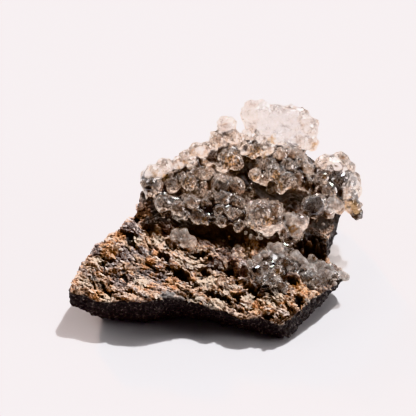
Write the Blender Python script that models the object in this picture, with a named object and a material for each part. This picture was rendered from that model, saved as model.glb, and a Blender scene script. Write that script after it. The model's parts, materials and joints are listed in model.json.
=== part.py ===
# A specimen of hyalite opal: clear, botryoidal opal grown over a slab of volcanic rock.
# Lengths in the lists are millimetres in plan view: x runs to the right, y to the back
# and z up, with y = 0 at the slab's front corner. The finished pieces are in metres.

import bisect
import math
import random

import bmesh
import bpy
from mathutils import Vector, noise

mm = 0.001

# Driving dimensions
pieceGap = 0.45            # clear space between the opal and the rock
rockVoxel = 0.8            # grid of the rock's rough form
opalVoxel = 0.42           # grid that the opal's lumps are fused on
rockTriangles = 3700
opalTriangles = 4300
clusterTriangles = 300
riserWidth = 1.5           # run of the steps between the terraces
bandDirection = math.radians(-37)   # course of the rock's flow banding in plan
ledgeHeight = 0.75         # relief of the flow bands
ledgeSpacing = 2.3         # distance from one flow band to the next
bandStretch = 3.6          # how much longer than wide the banding's relief is
wallRelief = 0.45          # roughness of the broken sides
undercutReach = 9          # how far behind the rim the undercut dies away
seed = 7

# The rim of the slab's front from the left tip to the right one (x, y, z), and how far the
# foot of the broken side lies behind it
frontRim = [
    (-35.3, 7.6, 9.4, 0), (-32.9, 6.4, 9.1, 0), (-29.6, 5.4, 9, 0.6), (-26, 4.4, 9, 1.4),
    (-22.3, 4.4, 9.1, 2.2), (-18.8, 3.7, 9.2, 2.7), (-14.9, 3.4, 9.8, 2.9), (-11.3, 4.6, 10, 2.7),
    (-8.2, 4.9, 9.1, 2.6), (-5.2, 5, 7.8, 2.6), (-3, 4.4, 7.4, 3), (-0.8, 2.8, 7.1, 4.2),
    (3.9, 2.4, 7, 2.4), (6, 0.8, 6.6, 2.7), (10.7, 0.8, 6.6, 1.2), (13.5, 0.6, 6.4, 0.3),
    (16.9, 0.9, 5.8, -1.4), (20.8, 5.2, 7, 0.8), (22.8, 7.5, 7.2, 0.8), (25.6, 10.2, 7.2, 0.6),
    (28.6, 13.6, 6.3, 0), (31.6, 16.6, 5.3, 0),
]

# The rest of the slab's outline, from the right tip round the back
backOutline = [
    (30.3, 18.9), (26.8, 20.9), (26, 24), (27.4, 30), (28.8, 36), (30, 41),
    (26.8, 46.5), (20, 50.4), (11, 51.4), (2, 50), (-6, 46.5), (-13, 42.6), (-17.8, 37.6),
    (-18.6, 32.8), (-21.4, 28.4), (-25, 24.8), (-28.8, 22), (-31.2, 16.8), (-33.2, 11.4),
]

# Spot heights (x, y, z) of the lower terrace behind its rim
lowerSpots = [
    (-31, 16, 10.6), (-26, 22, 11.8), (-21, 27.5, 13), (-17, 28, 10.4), (-27, 13.5, 9.6),
    (-19, 16, 9.4), (-13, 22, 9.6), (-12, 12, 9), (-4, 12, 7.8), (-4, 21, 8.8), (5, 13, 7.8),
    (5, 22, 8.6), (13, 11, 8.4), (14, 20, 8.8), (18, 6.5, 7.8), (21, 15, 7.4), (26, 19, 5.8),
]

# Spot heights of the upper terraces, which the opal covers
upperSpots = [
    (-17, 32, 13.4), (-9, 31, 13.4), (3, 29, 13), (11, 28, 12.4), (19, 28, 10.8), (26, 30, 10),
    (-13, 39, 14.6), (1, 38, 13.8), (12, 35.5, 12.2), (21, 36, 12.6), (28, 39, 11.6), (-7, 45, 16),
    (6, 46, 16.2), (18, 46.5, 15), (27, 44, 12.4), (10, 51, 14.5),
]

# Foot of the step between the lower and the upper terraces, left to right
riserFoot = [(-19, 31.5), (-11, 28.6), (-4, 27), (3, 26), (10, 24), (16, 24.6), (20, 22), (28, 24)]

# Hollows (x, y, z, half width, half depth, half height): the long one under the crust's
# left edge, the one under its right edge, and pits in the weathered top
hollows = [
    (-10.5, 29.5, 11.4, 7.5, 3.0, 1.9), (22, 25, 8.2, 3.2, 2.6, 1.9), (10.5, 25.5, 10, 4, 2, 1.4),
    (-9, 15, 9, 3.2, 1.3, 1.6), (5.5, 16.5, 9, 3, 1.1, 1.6), (-1, 19.5, 9.4, 3.4, 0.9, 1.2),
    (18, 13, 8.4, 2.2, 1.2, 1.4), (13.5, 1.8, 4.8, 3, 1.4, 1), (9, 10.5, 8.4, 4, 0.7, 1.2),
]

# The opal's lumps (x, y, z, radius), group by group
leftLumps = [
    (-15, 38, 18.5, 2.8), (-14.5, 35.5, 16.5, 2.8), (-16, 37, 17, 1.7), (-12.5, 39.5, 19, 2.1),
    (-10.5, 40.5, 19.5, 1.6), (-7.5, 41.5, 20.5, 1.6), (-9, 41.5, 20, 1.3), (-5.5, 42.5, 21.5, 1.4),
    (-4, 43, 21.5, 1.9), (-2.5, 44, 22, 1.4), (-10, 36.5, 17, 1.9), (-8, 37.5, 18, 1.9),
    (-5.5, 35.5, 17.5, 1.9), (-6, 38, 18.5, 1.5), (-3, 38, 18.5, 1.9), (-2, 39.5, 19, 1.4),
    (-4, 34.5, 16.5, 1.4), (-12, 35.5, 16, 1.4), (-1, 36.5, 17.5, 1.4), (-5.5, 40, 19, 2.2),
    (-9.5, 39.5, 17.5, 2.4),
]
brinkLumps = [
    (-13.5, 31.5, 15.5, 1.9), (-12, 29.5, 15.5, 1.9), (-9.5, 30, 15.5, 1.9), (-7, 30, 15.5, 2.1),
    (-4.5, 30.5, 16, 1.9), (-8.5, 28, 15, 1.4), (-5.5, 28, 14.5, 1.6), (-3, 29, 14.5, 1.9),
    (-2.5, 27, 13.5, 1.4), (-10.5, 32, 16.5, 1.6), (-7.5, 32.5, 16.5, 1.6), (-13, 33.5, 15.5, 1.8),
]
peakLumps = [
    (3, 48.5, 25.5, 2.35), (1, 47, 24.5, 1.6), (4, 47, 23.5, 2.1), (1.5, 45.5, 22.5, 2.1),
    (4.5, 45, 22, 1.9), (-0.5, 45.5, 22.5, 1.4), (3, 43.5, 20.5, 2.6), (0, 44.5, 20.5, 1.9),
    (4.5, 42.5, 19.5, 1.9), (1.5, 41.5, 18.5, 2.1), (-1, 42.5, 19, 1.6), (-2, 44, 21, 1.3),
    (-2.5, 42, 19, 1.3), (2, 46.5, 20, 3), (7.5, 48.5, 22.5, 1.2), (8.5, 47.5, 21, 1.4),
    (7.5, 45.5, 20, 1.3), (9.5, 45.5, 19, 1.5), (11, 47, 19.5, 1.5), (6.5, 46.5, 21.5, 1.2),
]
backLumps = [
    (8.2, 56, 23, 2.7), (11, 56.2, 22.8, 2.9), (14.2, 55.2, 22.4, 3.1), (17.5, 55.7, 22.4, 2.9),
    (20, 55, 21.8, 2.9), (22.2, 52.6, 20.8, 2.6), (22.8, 50, 18.8, 2), (11.5, 53, 19.2, 3.3),
    (15.5, 52.5, 19, 3.3), (19.5, 52, 18.7, 3.3), (6.8, 54, 21.4, 1.9), (8.7, 57, 24.6, 1.4),
    (21, 49.5, 17, 1.8), (14, 50, 18, 2.8), (18, 49, 17.5, 2.7), (10, 50, 18, 2.5),
]
centreLumps = [
    (12, 47.5, 20, 1.9), (14.5, 48, 21, 1.7), (16, 46.5, 20, 1.9), (13, 45, 18.5, 2.1),
    (16, 43.5, 18.5, 2.1), (19, 45, 19, 1.9), (11.5, 43, 17.5, 1.6), (19.5, 42.5, 17.5, 1.9),
    (21, 43.5, 18, 1.5), (21.5, 40.5, 17.5, 1.5), (9.5, 38.5, 17, 2.1), (11, 37.5, 16, 1.3),
    (16, 38.5, 17, 3.1), (13.5, 39.5, 17.5, 1.9), (15, 36.5, 15.5, 1.6), (18, 40, 17.5, 2.1),
    (19.5, 39, 16.5, 1.5), (10, 40.5, 16.5, 1.8), (14.5, 41.5, 17, 2.4),
]
rightLumps = [
    (27, 42.5, 18.3, 2.9), (30, 43, 16.9, 2.7), (32.2, 41, 14.8, 2.4), (29, 39.5, 15.5, 2.8),
    (24.5, 40.5, 17.5, 2.1), (26.5, 37.5, 16, 2.1), (32.5, 38.5, 13, 2.1), (30.5, 37, 14, 2.1),
    (24, 37, 15.5, 1.7), (27.5, 35, 14.5, 1.9), (22, 38, 16.5, 1.6), (20.5, 36.5, 15.5, 1.5),
    (22.5, 35, 14.5, 1.7), (32, 34.5, 12, 1.9), (33.5, 33.5, 11, 1.4), (31.5, 33, 11.5, 1.5),
    (30, 35, 13, 1.8), (25.5, 34, 13.5, 1.9), (23.5, 30.5, 14, 2.8), (26, 31, 14, 1.9),
    (28, 32, 13.8, 1.6), (30, 34, 14, 1.4), (21, 30, 13, 1.6), (22.5, 32.8, 13, 1.9),
]
frontLumps = [
    (19, 26, 13, 2.8), (19.5, 27.5, 14, 2.1), (17, 25, 12, 2.1), (18.5, 23.5, 11, 1.7),
    (15.5, 27, 13.5, 1.9), (11, 27, 16, 3.3), (13, 27.5, 16, 2.6), (14, 25, 14, 2.1),
    (11.5, 25, 14, 1.7), (9, 26.5, 15, 2.1), (0, 36, 17, 2.3), (3, 35.5, 17, 2.8),
    (5.5, 35.5, 16.5, 1.7), (0.5, 32, 16, 2.3), (4, 32, 16, 2.3), (6.5, 31.5, 15.5, 1.7),
    (-1.5, 30, 15, 1.9), (1.5, 28, 15, 2.1), (4.5, 27.5, 15, 2.1), (7, 28, 15, 1.9),
    (2, 25.8, 14, 1.6), (5.5, 25.5, 14, 1.6), (-1, 27, 14, 1.5), (20, 28.8, 12.8, 1.8),
]
patchLumps = [
    (8.5, 17, 9.5, 1.4), (11, 18.5, 9.8, 1.4), (13, 19.5, 10.3, 1.6), (15.5, 20.5, 10.3, 2.1),
    (16, 17, 9.4, 2.1), (18, 18.5, 9.6, 1.7), (19.5, 17.5, 8.8, 1.7), (18, 15.5, 8.8, 1.9),
    (21.5, 17, 8.2, 1.6), (23.5, 18.8, 7.6, 1.5), (23, 16, 7.6, 1.7), (25.5, 15.5, 7, 1.6),
    (27.5, 17, 6, 1.4), (28, 15.3, 6.6, 1.3), (24.5, 12.6, 7.4, 1.4), (22, 12.8, 7.9, 1.6),
    (29.8, 16.4, 6, 1.1), (31, 16.6, 5.9, 0.95), (9, 13.5, 9, 1.5), (11.5, 12.5, 9.2, 1.7),
    (14, 12, 9.2, 1.7), (10, 10.5, 8.8, 1.4), (12.5, 9, 8.9, 1.6), (15.5, 10, 8.9, 1.5),
    (11.5, 15.5, 9.4, 1.9), (14, 15, 9.4, 1.9), (17, 22, 10.4, 1.8), (18, 23, 10.8, 1.5),
    (26, 18.3, 6.3, 1.4), (20, 15.2, 8.2, 1.6), (21.5, 19, 8.2, 1.5), (13.2, 17.4, 9.8, 1.8),
    (25.8, 13.9, 7, 1.3), (7, 15.5, 8.8, 1.2),
]
clusterLumps = [
    (-9.5, 25, 10.8, 1.25), (-8, 25.2, 11, 1.3), (-6.6, 24.2, 10.6, 1.25), (-8, 23.6, 10, 1.3),
    (-6, 22.8, 10, 1), (-9.2, 23.8, 10.2, 1),
]

# Ground that a thin crust of small lumps covers (x, y, half width, half depth), and the
# valleys inside it where the rock stays bare
crustFields = [(-7, 37, 10.5, 5.5), (-5, 31, 8.5, 2.6), (4, 43, 7, 6), (4, 31, 6, 5), (17, 43, 9, 5.5),
               (27, 39, 4, 5.5), (17, 28, 5, 2.4), (23, 34, 4, 3)]
bareValleys = [(10.5, 34.5, 5.5, 1.6), (17.5, 33.5, 3.5, 2.4), (7.5, 41.5, 2.0, 2.6)]
crustSpacing = 1.7         # from one small lump to the next
crustLump = (1.0, 1.45)    # least and greatest radius of the small lumps


def smoothStep(t):
    t = min(max(t, 0.0), 1.0)
    return t * t * (3 - 2 * t)


def spotHeight(spots, x, y):
    weights = [1 / ((x - sx) ** 2 + (y - sy) ** 2 + 0.5) ** 1.7 for sx, sy, _ in spots]
    return sum(w * spot[2] for w, spot in zip(weights, spots)) / sum(weights)


def interpolate(stations, x):
    """Values at x of a list of (x, value, ...), in between its stations in proportion."""
    places = [station[0] for station in stations]
    i = min(max(bisect.bisect(places, x), 1), len(places) - 1)
    before, after = stations[i - 1], stations[i]
    t = min(max((x - before[0]) / (after[0] - before[0]), 0), 1)
    return [a + t * (b - a) for a, b in zip(before[1:], after[1:])]


def riserAt(x):
    return interpolate(riserFoot, x)[0]


def undercut(x, y, t):
    """How far back a point at height share t lies, because the foot is behind the rim."""
    rimY, _, recess = interpolate(frontRim, x)
    return recess * max(1 - t, 0) ** 1.3 * (1 - smoothStep((y - rimY) / undercutReach))


def rockTop(x, y):
    step = smoothStep((y - riserAt(x)) / riserWidth)
    lower = spotHeight(lowerSpots + [station[:3] for station in frontRim], x, y)
    return lower + step * (spotHeight(upperSpots, x, y) - lower)


def rockUnderside(x, y):
    """Height of the lower face: level in the middle, and rising to the tips and the back."""
    ground = -0.75             # below level, so that the cut at z = 0 leaves a face to rest on
    uneven = 1.2 * noise.noise(Vector((x / 6, y / 6, 2.2)))
    fromTip = max(-18 - x, 0)
    leftTip = fromTip * (0.14 + 0.0125 * fromTip)
    rightTip = 0.38 * (x - 18.5) + 0.4 * uneven
    rightSide = 0.6 * (x - 21.5) * smoothStep((y - 18) / 6) + uneven
    back = 0.5 * (y - 43) + 2 * uneven
    return max(ground + leftTip, ground + 0.5 * uneven, rightTip, rightSide, back)


def bandRelief(point):
    """Relief of the flow banding: long, low ledges along one course."""
    c, s = math.cos(bandDirection), math.sin(bandDirection)
    along = c * point.x + s * point.y
    across = -s * point.x + c * point.y
    bend = 1.4 * noise.noise(Vector((along / 11, across / 8, 3.1)))
    length = ledgeSpacing * bandStretch
    ledge = noise.noise(Vector((along / length, (across + bend) / ledgeSpacing, point.z / 3)))
    broad = noise.noise(Vector((point.x / 7, point.y / 7, 8.7)))
    covered = smoothStep((point.y - riserAt(point.x)) / riserWidth)
    return ledgeHeight * (1.25 * ledge + 0.6 * broad) * (1 - 0.6 * covered)


def wallNoise(point):
    fine = Vector((point.x / 2.2, point.y / 2.2, point.z / 1.6 + 4))
    coarse = Vector((point.x / 6, point.y / 6, point.z / 4))
    return wallRelief * (noise.noise(fine) + 1.2 * noise.noise(coarse))


def newObject(name, mesh):
    obj = bpy.data.objects.new(name, mesh)
    bpy.context.scene.collection.objects.link(obj)
    return obj


def bake(obj):
    """Replace the object's mesh by what its modifiers make of it."""
    depsgraph = bpy.context.evaluated_depsgraph_get()
    mesh = bpy.data.meshes.new_from_object(obj.evaluated_get(depsgraph))
    obj.modifiers.clear()
    old = obj.data
    obj.data = mesh
    bpy.data.meshes.remove(old)


def remesh(obj, voxel):
    modifier = obj.modifiers.new("fuse", "REMESH")
    modifier.mode = "VOXEL"
    modifier.voxel_size = voxel * mm
    bake(obj)


def cutAway(obj, cutter):
    modifier = obj.modifiers.new("cut", "BOOLEAN")
    modifier.operation = "DIFFERENCE"
    modifier.object = cutter
    bake(obj)
    bpy.data.objects.remove(cutter)


def simplify(obj, triangles):
    triangulate(obj)
    modifier = obj.modifiers.new("simplify", "DECIMATE")
    modifier.ratio = triangles / len(obj.data.polygons)
    bake(obj)


def triangulate(obj):
    bm = bmesh.new()
    bm.from_mesh(obj.data)
    bmesh.ops.triangulate(bm, faces=bm.faces)
    bm.to_mesh(obj.data)
    bm.free()


def keepLargestBody(obj):
    bm = bmesh.new()
    bm.from_mesh(obj.data)
    seen = set()
    bodies = []
    for start in bm.verts:
        if start in seen:
            continue
        body, queue = [], [start]
        seen.add(start)
        while queue:
            vert = queue.pop()
            body.append(vert)
            for edge in vert.link_edges:
                other = edge.other_vert(vert)
                if other not in seen:
                    seen.add(other)
                    queue.append(other)
        bodies.append(body)
    bodies.sort(key=len)
    for body in bodies[:-1]:
        bmesh.ops.delete(bm, geom=body, context="VERTS")
    bm.to_mesh(obj.data)
    bm.free()


def ragged(name, x, y, z, rx, ry, rz):
    """An uneven lens-shaped void; the shallow ones lie along the flow banding."""
    turn = bandDirection if ry < 1.5 else 0
    c, s = math.cos(turn), math.sin(turn)
    bm = bmesh.new()
    bmesh.ops.create_icosphere(bm, subdivisions=3, radius=1)
    for vert in bm.verts:
        uneven = 1 + 0.35 * noise.noise(vert.co * 1.7 + Vector((x, y, z)))
        along, across = rx * uneven * vert.co.x, ry * uneven * vert.co.y
        vert.co = Vector((x + c * along - s * across, y + s * along + c * across,
                          z + rz * uneven * vert.co.z)) * mm
    mesh = bpy.data.meshes.new(name)
    bm.to_mesh(mesh)
    bm.free()
    return newObject(name, mesh)


def makeRock():
    tall = 10
    outline = [station[:2] for station in frontRim] + backOutline
    bm = bmesh.new()
    face = bm.faces.new([bm.verts.new((x * mm, y * mm, 0)) for x, y in outline])
    top = bmesh.ops.extrude_face_region(bm, geom=[face])["geom"]
    for vert in (g for g in top if isinstance(g, bmesh.types.BMVert)):
        vert.co.z = tall * mm
    bmesh.ops.recalc_face_normals(bm, faces=bm.faces)
    mesh = bpy.data.meshes.new("matrix")
    bm.to_mesh(mesh)
    bm.free()
    rock = newObject("matrix", mesh)
    remesh(rock, rockVoxel)

    for vert in rock.data.vertices:
        x, y, t = vert.co.x / mm, vert.co.y / mm, vert.co.z / mm / tall
        low, high = rockUnderside(x, y), rockTop(x, y)
        vert.co.y += undercut(x, y, t) * mm
        vert.co.z = (low + t * (high - low)) * mm
    rock.data.update()
    offsets = []
    for vert in rock.data.vertices:
        point = vert.co / mm
        up = smoothStep((vert.normal.z - 0.2) / 0.5)
        down = smoothStep((-vert.normal.z - 0.2) / 0.5)
        side = 1 - up - down
        offsets.append(up * bandRelief(point) + (side + 0.45 * down) * wallNoise(point))
    for vert, offset in zip(rock.data.vertices, offsets):
        vert.co += vert.normal * (offset * mm)

    for hollow in hollows:
        cutAway(rock, ragged("hollow", *hollow))
    remesh(rock, rockVoxel * 0.7)
    keepLargestBody(rock)
    simplify(rock, rockTriangles)
    return rock


def cutLevel(rock):
    """Cut the underside off level at z = 0."""
    bm = bmesh.new()
    bmesh.ops.create_cube(bm, size=1)
    for vert in bm.verts:
        vert.co = Vector((vert.co.x * 0.2, vert.co.y * 0.2, (vert.co.z - 0.5) * 0.02))
    mesh = bpy.data.meshes.new("ground")
    bm.to_mesh(mesh)
    bm.free()
    cutAway(rock, newObject("ground", mesh))
    keepLargestBody(rock)


def inEllipses(ellipses, x, y):
    return any(((x - ex) / rx) ** 2 + ((y - ey) / ry) ** 2 < 1 for ex, ey, rx, ry in ellipses)


def thinCrust(rng):
    """A sheet of small lumps that follows the rock."""
    lumps = []
    left, front, extent = -20, 20, 60
    places = int(extent / crustSpacing)
    for i in range(places):
        for j in range(places):
            x = left + i * crustSpacing + rng.uniform(-0.5, 0.5)
            y = front + j * crustSpacing + rng.uniform(-0.5, 0.5)
            radius = rng.uniform(*crustLump)
            if inEllipses(crustFields, x, y) and not inEllipses(bareValleys, x, y):
                lumps.append((x, y, rockTop(x, y) + 0.35 * radius, radius))
    return lumps


def budsOn(lumps, rng):
    """Smaller lumps that sit on the larger ones."""
    buds = []
    for x, y, z, radius in lumps:
        for _ in range(int(1.6 * radius)):
            turn = rng.uniform(0, 2 * math.pi)
            lift = rng.uniform(-0.3, 0.7)
            flat = math.sqrt(1 - lift * lift)
            size = rng.uniform(0.45, 0.65) * min(radius, 2.2)
            reach = radius - 0.45 * size
            buds.append((x + reach * flat * math.cos(turn), y + reach * flat * math.sin(turn),
                         z + reach * lift, size))
    return buds


def fuseLumps(name, lumps):
    bm = bmesh.new()
    bmesh.ops.create_icosphere(bm, subdivisions=2, radius=1)
    ball = [vert.co.copy() for vert in bm.verts]
    ballFaces = [[vert.index for vert in face.verts] for face in bm.faces]
    bm.free()
    points, faces = [], []
    for x, y, z, radius in lumps:
        start = len(points)
        points += [(co * radius + Vector((x, y, z))) * mm for co in ball]
        faces += [[start + i for i in face] for face in ballFaces]
    mesh = bpy.data.meshes.new(name)
    mesh.from_pydata(points, [], faces)
    obj = newObject(name, mesh)
    remesh(obj, opalVoxel)
    return obj


def swell(obj, distance):
    """Move the whole surface out along its normals."""
    normals = [vert.normal.copy() for vert in obj.data.vertices]
    for vert, normal in zip(obj.data.vertices, normals):
        vert.co += normal * (distance * mm)
    obj.data.update()


def grownRock(rock):
    """A plainer copy of the rock, larger all round by the gap."""
    closing = 1.0              # swelling and shrinking again closes the finest creases
    grown = newObject("grown", rock.data.copy())
    swell(grown, closing)
    remesh(grown, rockVoxel)
    swell(grown, pieceGap - closing)
    simplify(grown, rockTriangles)
    return grown


def makeOpal(name, lumps, rock, triangles):
    opal = fuseLumps(name, lumps)
    keepLargestBody(opal)
    simplify(opal, triangles)
    cutAway(opal, grownRock(rock))
    keepLargestBody(opal)
    return opal


def material(name, colour, roughness, transmission, ior):
    mat = bpy.data.materials.new(name)
    mat.use_nodes = True
    shader = mat.node_tree.nodes["Principled BSDF"]
    shader.inputs["Base Color"].default_value = (*colour, 1)
    shader.inputs["Roughness"].default_value = roughness
    shader.inputs["Transmission Weight"].default_value = transmission
    shader.inputs["IOR"].default_value = ior
    mat.diffuse_color = (*colour, 1)
    return mat


def centreOnBase(pieces):
    """Move the origin to the middle of the specimen's bounding box, at its bottom."""
    points = [vert.co for piece in pieces for vert in piece.data.vertices]
    low = Vector([min(p[i] for p in points) for i in range(3)])
    high = Vector([max(p[i] for p in points) for i in range(3)])
    shift = Vector((-(low.x + high.x) / 2, -(low.y + high.y) / 2, -low.z))
    for piece in pieces:
        for vert in piece.data.vertices:
            vert.co += shift


for obj in list(bpy.data.objects):
    bpy.data.objects.remove(obj)

rng = random.Random(seed)
rockBrown = material("volcanic rock", (0.2, 0.14, 0.1), 0.85, 0, 1.5)
clearOpal = material("hyalite opal", (0.93, 0.92, 0.9), 0.08, 1, 1.45)

matrix = makeRock()
cutLevel(matrix)
mainLumps = leftLumps + brinkLumps + peakLumps + backLumps + centreLumps
mainLumps += rightLumps + frontLumps + patchLumps
crustLumps = mainLumps + budsOn(mainLumps, rng) + thinCrust(rng)
crust = makeOpal("hyalite_crust", crustLumps, matrix, opalTriangles)
smallLumps = clusterLumps + budsOn(clusterLumps, rng)
cluster = makeOpal("hyalite_small_cluster", smallLumps, matrix, clusterTriangles)
matrix.data.materials.clear()
matrix.data.materials.append(rockBrown)
for opal in (crust, cluster):
    opal.data.materials.clear()
    opal.data.materials.append(clearOpal)
centreOnBase([matrix, crust, cluster])
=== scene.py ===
import json
import math
import random

import bmesh
import bpy
import numpy as np
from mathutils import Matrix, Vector, noise
from mathutils.bvhtree import BVHTree

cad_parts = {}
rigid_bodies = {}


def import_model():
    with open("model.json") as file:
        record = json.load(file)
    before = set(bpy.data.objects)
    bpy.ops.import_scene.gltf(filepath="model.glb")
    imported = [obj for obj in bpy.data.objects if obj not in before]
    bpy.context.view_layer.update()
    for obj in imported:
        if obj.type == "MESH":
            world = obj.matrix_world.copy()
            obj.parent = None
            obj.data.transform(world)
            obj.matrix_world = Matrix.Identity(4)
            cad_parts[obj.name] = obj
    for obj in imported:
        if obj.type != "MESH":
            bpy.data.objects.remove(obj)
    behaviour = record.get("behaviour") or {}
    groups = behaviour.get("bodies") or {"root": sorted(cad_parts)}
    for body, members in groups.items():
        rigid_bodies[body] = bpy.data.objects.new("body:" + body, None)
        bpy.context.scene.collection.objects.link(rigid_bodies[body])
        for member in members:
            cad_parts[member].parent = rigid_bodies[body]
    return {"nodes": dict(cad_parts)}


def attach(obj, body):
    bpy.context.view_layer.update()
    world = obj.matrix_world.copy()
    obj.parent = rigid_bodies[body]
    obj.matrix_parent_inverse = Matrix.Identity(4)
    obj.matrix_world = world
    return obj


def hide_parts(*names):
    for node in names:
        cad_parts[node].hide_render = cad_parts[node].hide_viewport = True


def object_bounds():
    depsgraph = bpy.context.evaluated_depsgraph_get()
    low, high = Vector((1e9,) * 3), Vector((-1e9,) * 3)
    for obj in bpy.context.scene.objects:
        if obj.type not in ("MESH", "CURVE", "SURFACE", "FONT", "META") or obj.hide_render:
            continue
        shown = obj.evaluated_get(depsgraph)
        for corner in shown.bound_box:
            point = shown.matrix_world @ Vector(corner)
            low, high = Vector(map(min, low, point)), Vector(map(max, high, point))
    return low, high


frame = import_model()
cadLow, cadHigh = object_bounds()
print("frame loaded", [round(v * 1000, 1) for v in cadHigh - cadLow], "mm")

mm = 0.001
seed = 11
noise.seed_set(seed)                 # noise_vector would otherwise start from the clock
farOff = 0.03                        # a ray that goes this far meets nothing more, m
imageSide = 416                      # pixels, both ways
pixelSize = 0.235 * mm               # what one pixel covers at the specimen
cameraElevation = math.radians(42)
slabCorner = (-0.15, -29.595, 0)     # the slab's front corner, mm
cornerPixel = (216, 341)             # where the view shows it


# ---- small helpers

def linear(hexColour):
    channels = [int(hexColour[i:i + 2], 16) / 255 for i in (0, 2, 4)]
    return tuple(c / 12.92 if c <= 0.04045 else ((c + 0.055) / 1.055) ** 2.4 for c in channels) + (1.0,)


def addNode(tree, kind, settings=None, inputs=None):
    node = tree.nodes.new(kind)
    for name, value in (settings or {}).items():
        setattr(node, name, value)
    for key, value in (inputs or {}).items():
        if isinstance(value, bpy.types.NodeSocket):
            tree.links.new(value, node.inputs[key])
        else:
            node.inputs[key].default_value = value
    return node


def setRamp(node, stops):
    ramp = node.color_ramp
    while len(ramp.elements) > 1:
        ramp.elements.remove(ramp.elements[-1])
    for i, (place, colour) in enumerate(stops):
        element = ramp.elements[0] if i == 0 else ramp.elements.new(place)
        element.position = place
        element.color = linear(colour) if isinstance(colour, str) else (colour,) * 3 + (1,)
    return node


def newObject(name, mesh):
    obj = bpy.data.objects.new(name, mesh)
    bpy.context.scene.collection.objects.link(obj)
    return obj


def bake(obj):
    depsgraph = bpy.context.evaluated_depsgraph_get()
    mesh = bpy.data.meshes.new_from_object(obj.evaluated_get(depsgraph))
    obj.modifiers.clear()
    old = obj.data
    obj.data = mesh
    bpy.data.meshes.remove(old)


def mergedCopy(node, name):
    bm = bmesh.new()
    bm.from_mesh(frame["nodes"][node].data)
    bmesh.ops.remove_doubles(bm, verts=bm.verts, dist=0.002 * mm)
    mesh = bpy.data.meshes.new(name)
    bm.to_mesh(mesh)
    bm.free()
    return newObject(name, mesh)


def remesh(obj, voxel):
    modifier = obj.modifiers.new("fuse", "REMESH")
    modifier.mode = "VOXEL"
    modifier.voxel_size = voxel
    bake(obj)


def relax(obj, factor, times):
    modifier = obj.modifiers.new("relax", "SMOOTH")
    modifier.factor = factor
    modifier.iterations = times
    bake(obj)


def simplify(obj, triangles):
    present = sum(len(face.vertices) - 2 for face in obj.data.polygons)
    if present > triangles:
        modifier = obj.modifiers.new("simplify", "DECIMATE")
        modifier.ratio = triangles / present
        bake(obj)


def places(mesh, kind="co"):
    values = np.empty(len(mesh.vertices) * 3, np.float32)
    mesh.vertices.foreach_get(kind, values)
    return values.reshape(-1, 3)


def normals(mesh):
    return places(mesh, "normal")


def setPlaces(mesh, co):
    mesh.vertices.foreach_set("co", co.astype(np.float32).ravel())
    mesh.update()


def setAttribute(mesh, name, values):
    old = mesh.attributes.get(name)
    if old is not None:
        mesh.attributes.remove(old)
    values = np.asarray(values, np.float32)
    vectors = values.ndim == 2
    layer = mesh.attributes.new(name, "FLOAT_VECTOR" if vectors else "FLOAT", "POINT")
    layer.data.foreach_set("vector" if vectors else "value", values.ravel())


def keepInBox(mesh):
    # nothing reaches past the solids' own box
    setPlaces(mesh, np.clip(places(mesh), np.array(cadLow), np.array(cadHigh)))


def smoothStep(t):
    t = np.clip(t, 0, 1)
    return t * t * (3 - 2 * t)


def keepLargest(obj):
    bm = bmesh.new()
    bm.from_mesh(obj.data)
    seen, bodies = set(), []
    for start in bm.verts:
        if start.index in seen:
            continue
        body, queue = [], [start]
        seen.add(start.index)
        while queue:
            vert = queue.pop()
            body.append(vert)
            for edge in vert.link_edges:
                other = edge.other_vert(vert)
                if other.index not in seen:
                    seen.add(other.index)
                    queue.append(other)
        bodies.append(body)
    bodies.sort(key=len)
    for body in bodies[:-1]:
        bmesh.ops.delete(bm, geom=body, context="VERTS")
    bm.to_mesh(obj.data)
    bm.free()


def makeTree(name, sizes):
    tree = bpy.data.node_groups.new(name, "GeometryNodeTree")
    tree.interface.new_socket("Geometry", in_out="INPUT", socket_type="NodeSocketGeometry")
    tree.interface.new_socket("Geometry", in_out="OUTPUT", socket_type="NodeSocketGeometry")
    keys = {}
    for label, kind in sizes.items():
        socket = tree.interface.new_socket(label, in_out="INPUT", socket_type="NodeSocket" + kind)
        keys[label] = socket.identifier
    return tree, addNode(tree, "NodeGroupInput"), keys


def scatter(tree, give, where, density):
    # points no nearer to one another than Spacing, where the attribute says
    share = addNode(tree, "GeometryNodeInputNamedAttribute", {"data_type": "FLOAT"}, {"Name": where})
    return addNode(tree, "GeometryNodeDistributePointsOnFaces", {"distribute_method": "POISSON"}, {
        "Mesh": give["Geometry"], "Distance Min": give["Spacing"], "Density Max": density,
        "Density Factor": share.outputs["Attribute"], "Seed": give["Seed"]})


def randomBetween(tree, give, least, greatest):
    return addNode(tree, "FunctionNodeRandomValue", {"data_type": "FLOAT"}, {
        2: least, 3: greatest, "Seed": give["Seed"]}).outputs[1]


def finishTree(tree, give, made):
    coated = addNode(tree, "GeometryNodeSetMaterial", inputs={
        "Geometry": made.outputs[0], "Material": give["Material"]})
    addNode(tree, "NodeGroupOutput", inputs={0: coated.outputs[0]})


def runTree(obj, tree, keys, values):
    modifier = obj.modifiers.new(tree.name, "NODES")
    modifier.node_group = tree
    for label, value in values.items():
        modifier[keys[label]] = value
    bake(obj)


# ---- the rock: a flow-banded volcanic slab, weathered on top and freshly broken at the sides

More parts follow.
